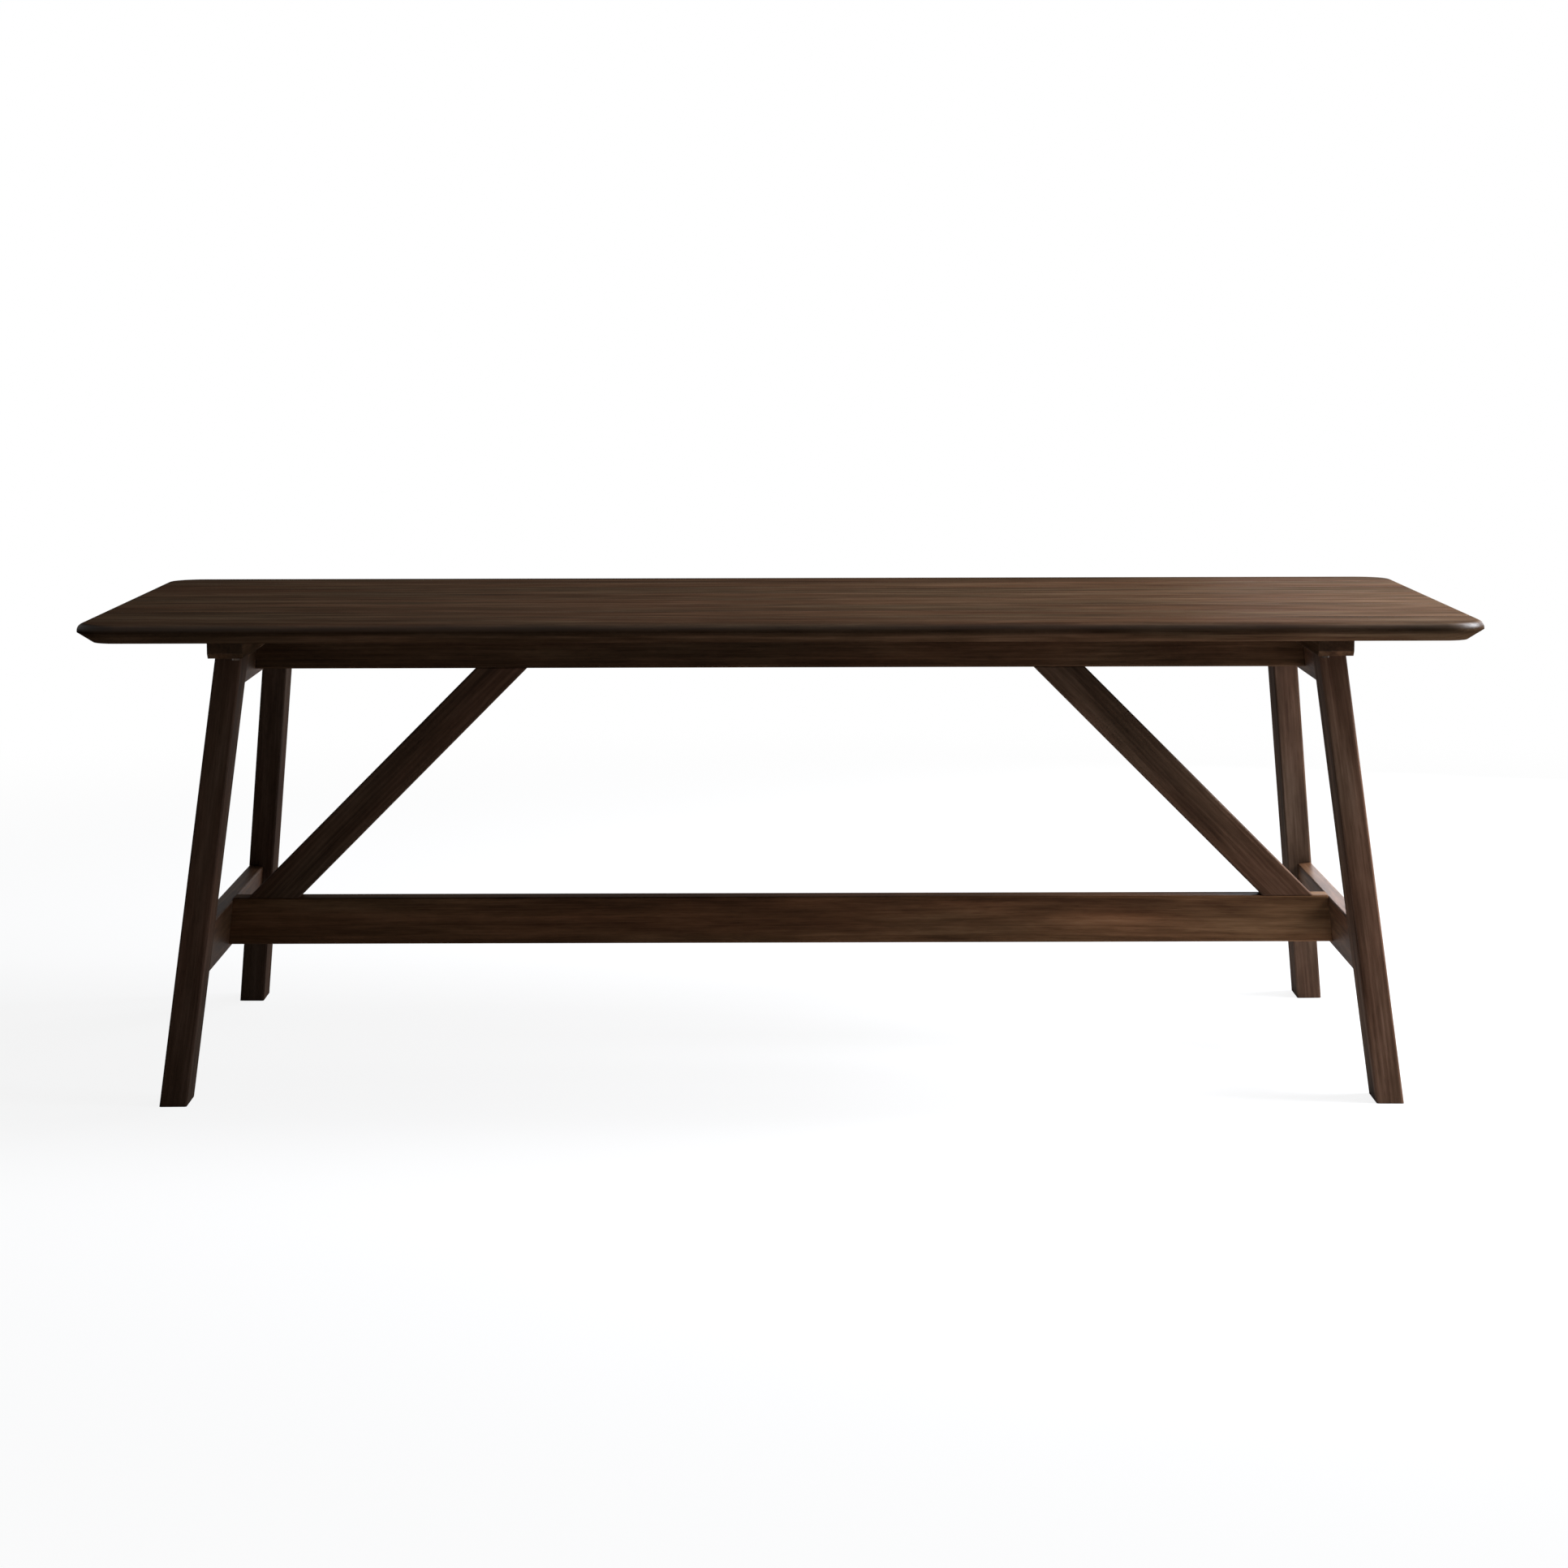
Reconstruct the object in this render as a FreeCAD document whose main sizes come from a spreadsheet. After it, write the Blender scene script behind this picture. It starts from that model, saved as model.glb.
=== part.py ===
import FreeCAD, Part
import os

import Sketcher

# A dining table with a solid top on two splayed, leaning end frames, a beam and a stretcher between
# them and two slanted braces. Millimetres, +Z up, +X along the top. The origin is on the floor
# under the middle of the top.

# Driving sizes: name, value, meaning.
SIZES = [
    ("table_height", 750, "floor to the upper face of the top"),
    ("top_length", 2175, "end to end of the top"),
    ("top_width", 1000, "front to back of the top"),
    ("top_thickness", 30, "thickness of the top boards"),
    ("corner_radius", 65, "rounding of the four corners of the top, seen from above"),
    ("undercut_height", 16, "height of the slanted undercut below the rim of the top"),
    ("undercut_depth", 25, "how far that undercut runs in under the top"),
    ("top_edge_radius", 12, "rounding of the upper rim of the top"),
    ("cleat_thickness", 28, "thickness of the cleats under the top"),
    ("cleat_width", 55, "width of a cleat, along the table"),
    ("cleat_end_distance", 70, "distance from the top's long edge in to the end of a cleat"),
    ("cleat_bevel_width", 8, "bevel on the lower edge of a cleat's two ends"),
    ("feet_end_distance", 120, "end of the top in to the outer face of a foot, at the floor"),
    ("feet_side_distance", 2, "long edge of the top in to the outer edge of a foot, at the floor"),
    ("leg_lean_angle", 6.5, "degrees by which an end frame leans in towards its top"),
    ("leg_splay_angle", 12.75, "degrees by which a leg slants within its frame"),
    ("leg_thickness", 42, "thickness of a leg, square to its frame"),
    ("leg_width", 80, "width of a leg within its frame, square to its edges"),
    ("leg_bevel_width", 2.5, "bevel on the long edges of the legs"),
    ("rail_thickness", 25, "thickness of the two rails of an end frame"),
    ("upper_rail_drop", 10, "how far the upper rails hang below the beam"),
    ("lower_rail_drop", 6, "how far the lower rails hang below the stretcher"),
    ("rail_bevel_width", 2, "bevel on the long edges of the rails"),
    ("rail_tenon_length", 24, "how far a rail's tenon goes into the leg"),
    ("rail_tenon_thickness", 10, "thickness of a rail's tenon"),
    ("rail_tenon_shoulder_width", 9, "shoulder above and below a rail's tenon"),
    ("head_tenon_length", 16, "length of the upright tenon on the head of a leg"),
    ("head_tenon_thickness", 18, "thickness of that tenon, along the table"),
    ("head_tenon_shoulder_width", 14, "shoulder in front of and behind that tenon"),
    ("beam_depth", 82, "underside of the top to the underside of the beam"),
    ("beam_thickness", 45, "thickness of the beam and the stretcher, front to back"),
    ("beam_bevel_width", 2.5, "bevel on the long edges of the beam and the stretcher"),
    ("stub_length", 10, "length of the stub tenons of the beam and the stretcher"),
    ("stub_thickness", 25, "thickness of those tenons, front to back"),
    ("stub_shoulder_width", 12, "shoulder above and below those tenons"),
    ("stretcher_bottom", 176, "floor to the underside of the stretcher"),
    ("stretcher_depth", 78, "height of the stretcher"),
    ("brace_foot_distance", 25, "lower rail to the outer corner of a brace, along the stretcher's top"),
    ("brace_angle", 45, "degrees between a brace and the stretcher"),
    ("brace_width", 60, "width of a brace, square to its edges"),
    ("brace_thickness", 42, "thickness of a brace, front to back"),
    ("brace_bevel_width", 2, "bevel on the long edges of the braces"),
    ("brace_tenon_length", 18, "length of the upright tenon at each end of a brace"),
    ("brace_tenon_thickness", 14, "thickness of a brace's tenon, front to back"),
    ("brace_tenon_shoulder_width", 16, "shoulder at each end of a brace's tenon, along the table"),
    ("fit_gap", 0.2, "gap round a tenon, a nut or a screw in its hole"),
    ("depth_gap", 1, "room left past the end of a tenon, bolt or screw"),
    ("overrun_length", 10, "how far a cut runs past the wood that it takes away"),
    ("bolt_diameter", 6, "shank of a frame bolt"),
    ("bolt_length", 80, "length of a frame bolt under its head"),
    ("bolt_head_diameter", 17, "flat head of a frame bolt"),
    ("bolt_head_thickness", 3, "height of a frame bolt's head"),
    ("bolt_hole_gap", 0.5, "gap round a frame bolt in the wood"),
    ("nut_diameter", 10, "diameter of a barrel nut"),
    ("nut_length", 28, "length of a barrel nut"),
    ("nut_distance", 51, "end of the beam or the stretcher in to the barrel nut"),
    ("top_screw_diameter", 6, "shank of the screws that hold the top"),
    ("top_screw_depth", 18, "how far those screws go into the top"),
    ("top_screw_distance", 14, "inner edge of a cleat in to the screws"),
    ("top_screw_gap", 1, "gap round those screws in the cleat, which lets the top move"),
    ("screw_head_width", 10, "hexagonal head of such a screw, across its flats"),
    ("screw_head_height", 4, "height of that head"),
]

# The top is glued up from this many boards, front to back.
BOARD_COUNT = 8

# Where the screws up into the top lie, counted in board widths to both sides of the middle.
SCREW_PLACE_SHARES = (1.2, 3.24)

# The heads of those screws have six sides.
HEAD_SIDES = 6

X_AXIS = FreeCAD.Vector(1, 0, 0)
Y_AXIS = FreeCAD.Vector(0, 1, 0)
Z_AXIS = FreeCAD.Vector(0, 0, 1)
QUARTER_TURN = 90
HALF_TURN = 180

# Points nearer than the first, in millimetres, count as one. Directions count as one where the
# cosine of the angle between them is short of 1 by less than the second.
SAME_PLACE = 1e-4
SAME_WAY = 1e-6

doc = FreeCAD.newDocument("DiningTable")
sizes = doc.addObject("Spreadsheet::Sheet", "Sizes")
for row, (alias, number, meaning) in enumerate(SIZES, start=1):
    sizes.set(f"A{row}", alias)
    sizes.set(f"B{row}", str(number))
    sizes.setAlias(f"B{row}", alias)
    sizes.set(f"C{row}", meaning)
doc.recompute()

# The bodies and groups that are written out, each to a file of its own.
nodes = []


# Heights and places that follow from the sizes, as expressions. A height is measured at the floor's
# upright, a place along X from the middle of the table.
LEAN = "Sizes.leg_lean_angle"
SPLAY = "Sizes.leg_splay_angle"
FEET_END = "(Sizes.top_length / 2 - Sizes.feet_end_distance)"
FEET_SIDE = "(Sizes.top_width / 2 - Sizes.feet_side_distance)"
UNDERSIDE = "(Sizes.table_height - Sizes.top_thickness)"
BEAM_BOTTOM = f"({UNDERSIDE} - Sizes.beam_depth)"
CLEAT_UNDERSIDE = f"({UNDERSIDE} - Sizes.cleat_thickness)"
STRETCHER_TOP = "(Sizes.stretcher_bottom + Sizes.stretcher_depth)"
BOARD_WIDTH = f"(Sizes.top_width / {BOARD_COUNT})"
CLEAT_LENGTH = "(Sizes.top_width - 2 * Sizes.cleat_end_distance)"
CLEAT_OUTSIDE = f"({FEET_END} - {CLEAT_UNDERSIDE} * tan({LEAN}))"
CLEAT_INSIDE = f"({CLEAT_OUTSIDE} - Sizes.cleat_width)"
TOP_SCREW_X = f"({CLEAT_INSIDE} + Sizes.top_screw_distance)"
LEG_LEVEL_WIDTH = f"(Sizes.leg_width / cos({SPLAY}))"
LEG_LEVEL_THICKNESS = f"(Sizes.leg_thickness / cos({LEAN}))"
LEG_HEAD_X = f"({CLEAT_OUTSIDE} - {LEG_LEVEL_THICKNESS} / 2)"
TENON_INSET = "((Sizes.rail_thickness - Sizes.rail_tenon_thickness) / 2)"
BRACE_RUN = "(1 / tan(Sizes.brace_angle))"
BRACE_LEVEL_WIDTH = "(Sizes.brace_width / sin(Sizes.brace_angle))"


def rail_face(height):
    """Distance from the middle of the table to the inner face of a frame's rails at a height."""
    return f"({FEET_END} - Sizes.rail_thickness / cos({LEAN}) - {height} * tan({LEAN}))"


BRACE_FOOT = f"({rail_face(STRETCHER_TOP)} - Sizes.brace_foot_distance)"
BRACE_HEAD = f"({BRACE_FOOT} - ({BEAM_BOTTOM} - {STRETCHER_TOP}) * {BRACE_RUN})"

# The upper joints of the beam and the lower joints of the stretcher: bottom and top of each, and of
# the rails that they meet.
JOINTS = {
    "upper": (BEAM_BOTTOM, CLEAT_UNDERSIDE),
    "lower": ("Sizes.stretcher_bottom", STRETCHER_TOP),
}
RAILS = {
    "upper": (f"({BEAM_BOTTOM} - Sizes.upper_rail_drop)", CLEAT_UNDERSIDE),
    "lower": ("(Sizes.stretcher_bottom - Sizes.lower_rail_drop)", STRETCHER_TOP),
}
SIDES = {"left": -1, "right": 1}
ENDS = {"front": -1, "rear": 1}


def value(expression):
    """The number that an expression in the sheet's names stands for."""
    result = sizes.evalExpression(expression)
    return float(getattr(result, "Value", result))


def times(sign, expression):
    """The expression, negated where sign is -1."""
    return expression if sign > 0 else f"-({expression})"


def set_sizes(item, **expressions):
    """Bind properties of an object to expressions."""
    for name, expression in expressions.items():
        item.setExpression(name, expression)


def put(item, prefix, x="0", y="0", z="0", axis=Z_AXIS, angle="0"):
    """Bind a placement: a point, and a turn of a positive angle about an axis."""
    turn = value(angle)
    point = FreeCAD.Vector(value(x), value(y), value(z))
    setattr(item, prefix, FreeCAD.Placement(point, FreeCAD.Rotation(axis, turn)))
    for letter, expression in (("x", x), ("y", y), ("z", z)):
        if expression != "0":
            item.setExpression(f"{prefix}.Base.{letter}", expression)
    if turn:
        item.setExpression(f"{prefix}.Rotation.Angle", angle)


# Body helpers.

def new_body(name):
    body = doc.addObject("PartDesign::Body", name)
    body.Label = name
    nodes.append(body)
    return body


def origin_plane(body, role):
    return next(item for item in body.Origin.OriginFeatures if item.Role == role)


def outline(body, name, plane, points, offset="0"):
    """A closed sketch with straight sides through points, whose coordinates are expressions."""
    sketch = body.newObject("Sketcher::SketchObject", f"{body.Name}_{name}")
    sketch.AttachmentSupport = [(origin_plane(body, plane), "")]
    sketch.MapMode = "FlatFace"
    if offset != "0":
        sketch.AttachmentOffset = FreeCAD.Placement(Z_AXIS * value(offset), FreeCAD.Rotation())
        sketch.setExpression("AttachmentOffset.Base.z", offset)
    count = len(points)
    corners = [FreeCAD.Vector(value(across), value(up), 0) for across, up in points]
    for index in range(count):
        sketch.addGeometry(Part.LineSegment(corners[index], corners[(index + 1) % count]), False)
    for index in range(count):
        sketch.addConstraint(Sketcher.Constraint("Coincident", index, 2, (index + 1) % count, 1))
    for index, point in enumerate(points):
        for kind, expression, number in zip(("DistanceX", "DistanceY"), point, corners[index]):
            place = sketch.addConstraint(Sketcher.Constraint(kind, -1, 1, index, 1, number))
            sketch.setExpression(f"Constraints[{place}]", expression)
    return sketch


def rectangle(across, up, half_width, half_height):
    """The corner points of a rectangle about a centre."""
    return [
        (f"{across} - {half_width}", f"{up} - {half_height}"),
        (f"{across} + {half_width}", f"{up} - {half_height}"),
        (f"{across} + {half_width}", f"{up} + {half_height}"),
        (f"{across} - {half_width}", f"{up} + {half_height}"),
    ]


def pad(body, name, sketch, length, both_ways=False, backwards=False):
    feature = body.newObject("PartDesign::Pad", f"{body.Name}_{name}")
    feature.Profile = sketch
    feature.SideType = "Symmetric" if both_ways else "One side"
    feature.Reversed = backwards
    feature.setExpression("Length", length)
    doc.recompute([body])
    return feature


def pocket(body, name, sketch, length=None, backwards=False):
    """Cut by a sketch: to a length on one side, or right through both ways."""
    before = body.Shape.Volume
    feature = body.newObject("PartDesign::Pocket", f"{body.Name}_{name}")
    feature.Profile = sketch
    feature.Reversed = backwards
    if length is None:
        feature.SideType = "Symmetric"
        feature.Type = "ThroughAll"
    else:
        feature.setExpression("Length", length)
    doc.recompute([body])
    if not body.Shape.Volume < before:
        raise ValueError(f"{feature.Name} takes nothing away")
    return feature


def bore(body, name, diameter, depth, place, axis=Z_AXIS, angle="0"):
    """A round hole from a point, along +Z turned by an angle about an axis."""
    before = body.Shape.Volume
    feature = body.newObject("PartDesign::SubtractiveCylinder", f"{body.Name}_{name}")
    feature.AttachmentSupport = [(origin_plane(body, "XY_Plane"), "")]
    feature.MapMode = "FlatFace"
    set_sizes(feature, Radius=f"({diameter}) / 2", Height=depth)
    put(feature, "AttachmentOffset", *place, axis=axis, angle=angle)
    doc.recompute([body])
    if not body.Shape.Volume < before:
        raise ValueError(f"{feature.Name} takes nothing away")
    return feature


def edge_names(feature, wanted):
    """The names of a feature's edges that the test takes, given an edge's two ends."""
    names = []
    for index, edge in enumerate(feature.Shape.Edges, start=1):
        if wanted(edge.Vertexes[0].Point, edge.Vertexes[-1].Point):
            names.append(f"Edge{index}")
    return names


def dress(body, kind, name, size, wanted, second=None):
    """Round or bevel the edges that the test takes. A bevel can have two widths."""
    base = body.Tip
    names = edge_names(base, wanted)
    if not names:
        raise ValueError(f"{body.Name} has no edge for {name}")
    feature = body.newObject(f"PartDesign::{kind}", f"{body.Name}_{name}")
    feature.Base = (base, names)
    feature.setExpression("Radius" if kind == "Fillet" else "Size", size)
    if second:
        feature.ChamferType = "Two distances"
        feature.setExpression("Size2", second)
    doc.recompute([body])
    return feature


def along(direction):
    """A test for edges that run along a direction."""
    def wanted(start, end):
        run = end - start
        return run.Length > 0 and abs(run.normalize().dot(direction)) > 1 - SAME_WAY
    return wanted


def same(first, second):
    return abs(first - second) < SAME_PLACE


# The end frames. Each leans in towards its top, so its pieces are drawn in the frame's own plane:
# x = 0 is the outer face, +Y runs to the rear and z climbs along the lean. The body is then turned.

def lean(body, side):
    put(body, "Placement", x=times(side, FEET_END), axis=Y_AXIS * -side, angle=LEAN)


def frame_height(height):
    """A height above the floor, measured along the outer face of the leaning frame."""
    return f"({height} / cos({LEAN}))"


def leg_outside(climb):
    """Distance from the middle of the frame to a leg's outer edge."""
    return f"({FEET_SIDE} - {climb} * tan({SPLAY}))"


def leg_inside(climb):
    """Distance from the middle of the frame to a leg's inner edge."""
    return f"({leg_outside(climb)} - {LEG_LEVEL_WIDTH})"


def frame_point(side, inward, height):
    """A point given by its level distance in from the outer face and its height above the floor."""
    x = times(side, f"-({inward}) * cos({LEAN})")
    z = f"({height} / cos({LEAN}) + {inward} * sin({LEAN}))"
    return x, z


def level_waste(side, height, thickness, above):
    """The wood above or below a level cut through a leaning piece, seen from its edge."""
    climb = frame_height(height)
    outer = "Sizes.overrun_length"
    inner = f"({thickness} + Sizes.overrun_length)"
    rise = f"{inner} * tan({LEAN})"
    if above:
        limit = f"{climb} + {rise} + Sizes.overrun_length"
    else:
        limit = f"{climb} - {rise} - Sizes.overrun_length"
    return [
        (times(side, outer), f"{climb} - {outer} * tan({LEAN})"),
        (times(side, f"-{inner}"), f"{climb} + {rise}"),
        (times(side, f"-{inner}"), limit),
        (times(side, outer), limit),
    ]


def tenon_span(joint):
    """Bottom and top of the tenon of a rail, along the lean."""
    bottom, top = RAILS[joint]
    low = f"({frame_height(bottom)} + Sizes.rail_tenon_shoulder_width)"
    high = f"({frame_height(top)} - Sizes.rail_tenon_shoulder_width)"
    return low, high


def make_leg(side_name, end_name):
    side, end = SIDES[side_name], ENDS[end_name]
    body = new_body(f"leg_{end_name}_{side_name}")
    lean(body, side)
    foot = "(-Sizes.overrun_length)"
    head = f"({frame_height(CLEAT_UNDERSIDE)} + Sizes.leg_thickness * tan({LEAN}) + Sizes.overrun_length)"
    band = [
        (times(end, leg_outside(foot)), foot),
        (times(end, leg_outside(head)), head),
        (times(end, leg_inside(head)), head),
        (times(end, leg_inside(foot)), foot),
    ]
    sketch = outline(body, "outline", "YZ_Plane", band)
    pad(body, "board", sketch, "Sizes.leg_thickness", backwards=side > 0)
    grain = FreeCAD.Vector(0, -end * value(f"tan({SPLAY})"), 1).normalize()
    dress(body, "Chamfer", "edges", "Sizes.leg_bevel_width", along(grain))
    for name, height, above in (("foot", "0", False), ("head", CLEAT_UNDERSIDE, True)):
        waste = level_waste(side, height, "Sizes.leg_thickness", above)
        pocket(body, name, outline(body, f"{name}_waste", "XZ_Plane", waste))
    middle = f"{LEG_LEVEL_THICKNESS} / 2"
    half = "Sizes.head_tenon_thickness / 2"
    corners = []
    for across, rise in (("-", "-"), ("+", "-"), ("+", "+"), ("-", "+")):
        inward = f"({middle} {across} {half} - {rise}Sizes.head_tenon_length * tan({LEAN}))"
        corners.append(frame_point(side, inward, f"({CLEAT_UNDERSIDE} {rise} Sizes.head_tenon_length)"))
    sketch = outline(body, "head_tenon_outline", "XZ_Plane", corners, offset=times(-end, leg_head_y()))
    width = f"{LEG_LEVEL_WIDTH} - 2 * Sizes.head_tenon_shoulder_width"
    pad(body, "head_tenon", sketch, width, both_ways=True)
    for joint in JOINTS:
        low, high = tenon_span(joint)
        low = f"({low} - Sizes.fit_gap)"
        high = f"({high} + Sizes.fit_gap)"
        depth = "(Sizes.rail_tenon_length + Sizes.depth_gap)"
        mouth = [
            (times(end, f"({leg_inside(low)} - Sizes.overrun_length)"), low),
            (times(end, f"({leg_inside(low)} + {depth})"), low),
            (times(end, f"({leg_inside(high)} + {depth})"), high),
            (times(end, f"({leg_inside(high)} - Sizes.overrun_length)"), high),
        ]
        wall = times(-side, f"({TENON_INSET} - Sizes.fit_gap)")
        sketch = outline(body, f"{joint}_mouth", "YZ_Plane", mouth, offset=wall)
        width = "Sizes.rail_tenon_thickness + 2 * Sizes.fit_gap"
        pocket(body, f"{joint}_mortise", sketch, width, backwards=side < 0)


def leg_head_y():
    """Distance from the middle of the frame to the middle of a leg's head."""
    return f"({leg_outside(frame_height(CLEAT_UNDERSIDE))} - {LEG_LEVEL_WIDTH} / 2)"


def make_rail(side_name, joint):
    """A rail between the two legs of a frame, tenoned into both."""
    side = SIDES[side_name]
    body = new_body(f"{joint}_rail_{side_name}")
    lean(body, side)
    bottom, top = RAILS[joint]
    low = frame_height(bottom)
    high = frame_height(top)
    if joint == "upper":
        high = f"({high} + Sizes.rail_thickness * tan({LEAN}) + Sizes.overrun_length)"
    shape = [
        (f"-{leg_inside(low)}", low),
        (leg_inside(low), low),
        (leg_inside(high), high),
        (f"-{leg_inside(high)}", high),
    ]
    sketch = outline(body, "outline", "YZ_Plane", shape)
    pad(body, "board", sketch, "Sizes.rail_thickness", backwards=side > 0)
    dress(body, "Chamfer", "edges", "Sizes.rail_bevel_width", along(Y_AXIS))
    if joint == "upper":
        waste = level_waste(side, top, "Sizes.rail_thickness", True)
        pocket(body, "head", outline(body, "head_waste", "XZ_Plane", waste))
    low, high = tenon_span(joint)
    tongue = [
        (f"-({leg_inside(low)} + Sizes.rail_tenon_length)", low),
        (f"{leg_inside(low)} + Sizes.rail_tenon_length", low),
        (f"{leg_inside(high)} + Sizes.rail_tenon_length", high),
        (f"-({leg_inside(high)} + Sizes.rail_tenon_length)", high),
    ]
    sketch = outline(body, "tenon_outline", "YZ_Plane", tongue, offset=times(-side, TENON_INSET))
    pad(body, "tenons", sketch, "Sizes.rail_tenon_thickness", backwards=side > 0)
    bore(body, "bolt_hole", "Sizes.bolt_diameter + 2 * Sizes.bolt_hole_gap",
         "Sizes.rail_thickness + 2 * Sizes.overrun_length",
         (times(side, "Sizes.overrun_length"), "0", joint_middle(joint)),
         axis=Y_AXIS * -side, angle=str(QUARTER_TURN))
    low, high = stub_span(joint)
    half = "(Sizes.stub_thickness / 2 + Sizes.fit_gap)"
    mouth = [
        (f"-{half}", f"{low} - Sizes.fit_gap"),
        (half, f"{low} - Sizes.fit_gap"),
        (half, f"{high} + Sizes.fit_gap"),
        (f"-{half}", f"{high} + Sizes.fit_gap"),
    ]
    floor = times(-side, "(Sizes.rail_thickness - Sizes.stub_length - Sizes.depth_gap)")
    sketch = outline(body, "stub_mouth", "YZ_Plane", mouth, offset=floor)
    pocket(body, "stub_mortise", sketch, "Sizes.stub_length + Sizes.depth_gap + Sizes.overrun_length",
           backwards=side < 0)


def inner_climb(height):
    """A height above the floor at the inner face of a rail, measured along the lean."""
    return f"({height} / cos({LEAN}) + Sizes.rail_thickness * tan({LEAN}))"


def joint_middle(joint):
    """The height of a joint's bolt, along the lean."""
    bottom, top = JOINTS[joint]
    return inner_climb(f"({bottom} + {top}) / 2")


def stub_span(joint):
    """Bottom and top of a joint's stub tenon, along the lean."""
    bottom, top = JOINTS[joint]
    low = f"({inner_climb(bottom)} + Sizes.stub_shoulder_width)"
    high = f"({inner_climb(top)} - Sizes.stub_shoulder_width)"
    return low, high


# The beam, the stretcher and the braces lie in the middle plane of the table.

def world_point(side, inward, climb):
    """A point of a leaning frame, given square to its outer face and along the lean."""
    x = times(side, f"({FEET_END} - ({inward}) * cos({LEAN}) - {climb} * sin({LEAN}))")
    z = f"({climb} * cos({LEAN}) - ({inward}) * sin({LEAN}))"
    return x, z


def joint_ends(body, joint):
    """The stub tenons of the beam or the stretcher, square to the leaning rails, and the holes
    for their bolts and barrel nuts."""
    low, high = stub_span(joint)
    for side_name, side in SIDES.items():
        tongue = [
            world_point(side, "Sizes.rail_thickness - Sizes.stub_length", low),
            world_point(side, "Sizes.rail_thickness + Sizes.stub_length", low),
            world_point(side, "Sizes.rail_thickness + Sizes.stub_length", high),
            world_point(side, "Sizes.rail_thickness - Sizes.stub_length", high),
        ]
        sketch = outline(body, f"{side_name}_stub_outline", "XZ_Plane", tongue)
        pad(body, f"{side_name}_stub", sketch, "Sizes.stub_thickness", both_ways=True)
        inward = "(Sizes.rail_thickness - Sizes.stub_length - Sizes.overrun_length)"
        x, z = world_point(side, inward, joint_middle(joint))
        bore(body, f"{side_name}_bolt_hole", "Sizes.bolt_diameter + 2 * Sizes.bolt_hole_gap",
             f"Sizes.bolt_length - {inward} + Sizes.depth_gap",
             (x, "0", z), axis=Y_AXIS * -side, angle=f"{QUARTER_TURN} + {LEAN}")
        x, z = world_point(side, "Sizes.rail_thickness + Sizes.nut_distance", joint_middle(joint))
        bore(body, f"{side_name}_nut_hole", "Sizes.nut_diameter + 2 * Sizes.fit_gap",
             "(Sizes.nut_length + Sizes.beam_thickness) / 2 + Sizes.depth_gap + Sizes.overrun_length",
             (x, "-(Sizes.nut_length / 2 + Sizes.depth_gap)", z), axis=X_AXIS * -1, angle=str(QUARTER_TURN))


def brace_mortises(body, level, centre, upwards):
    """The mouths for the tenons of the two braces in the beam or the stretcher."""
    gap = "Sizes.fit_gap"
    half_length = f"({BRACE_LEVEL_WIDTH} / 2 - Sizes.brace_tenon_shoulder_width + {gap})"
    half_thickness = f"(Sizes.brace_tenon_thickness / 2 + {gap})"
    for side_name, side in SIDES.items():
        mouth = rectangle(times(side, centre), "0", half_length, half_thickness)
        sketch = outline(body, f"{side_name}_mouth", "XY_Plane", mouth, offset=level)
        pocket(body, f"{side_name}_mortise", sketch, "Sizes.brace_tenon_length + Sizes.depth_gap",
               backwards=upwards)


def make_beam():
    """The beam under the top, notched at both ends to pass under the cleats."""
    body = new_body("beam")
    notch = f"({CLEAT_INSIDE} - Sizes.fit_gap)"
    right = [
        (rail_face(BEAM_BOTTOM), BEAM_BOTTOM),
        (rail_face(CLEAT_UNDERSIDE), CLEAT_UNDERSIDE),
        (notch, CLEAT_UNDERSIDE),
        (notch, UNDERSIDE),
    ]
    left = [(f"-({x})", z) for x, z in reversed(right)]
    sketch = outline(body, "outline", "XZ_Plane", right + left)
    pad(body, "timber", sketch, "Sizes.beam_thickness", both_ways=True)
    low = value(BEAM_BOTTOM)
    dress(body, "Chamfer", "edges", "Sizes.beam_bevel_width",
          lambda start, end: along(X_AXIS)(start, end) and same(start.z, low))
    joint_ends(body, "upper")
    brace_mortises(body, BEAM_BOTTOM, f"({BRACE_HEAD} - {BRACE_LEVEL_WIDTH} / 2)", True)


def make_stretcher():
    body = new_body("stretcher")
    right = [
        (rail_face("Sizes.stretcher_bottom"), "Sizes.stretcher_bottom"),
        (rail_face(STRETCHER_TOP), STRETCHER_TOP),
    ]
    left = [(f"-({x})", z) for x, z in reversed(right)]
    sketch = outline(body, "outline", "XZ_Plane", right + left)
    pad(body, "timber", sketch, "Sizes.beam_thickness", both_ways=True)
    dress(body, "Chamfer", "edges", "Sizes.beam_bevel_width", along(X_AXIS))
    joint_ends(body, "lower")
    brace_mortises(body, STRETCHER_TOP, f"({BRACE_FOOT} - {BRACE_LEVEL_WIDTH} / 2)", False)


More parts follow.
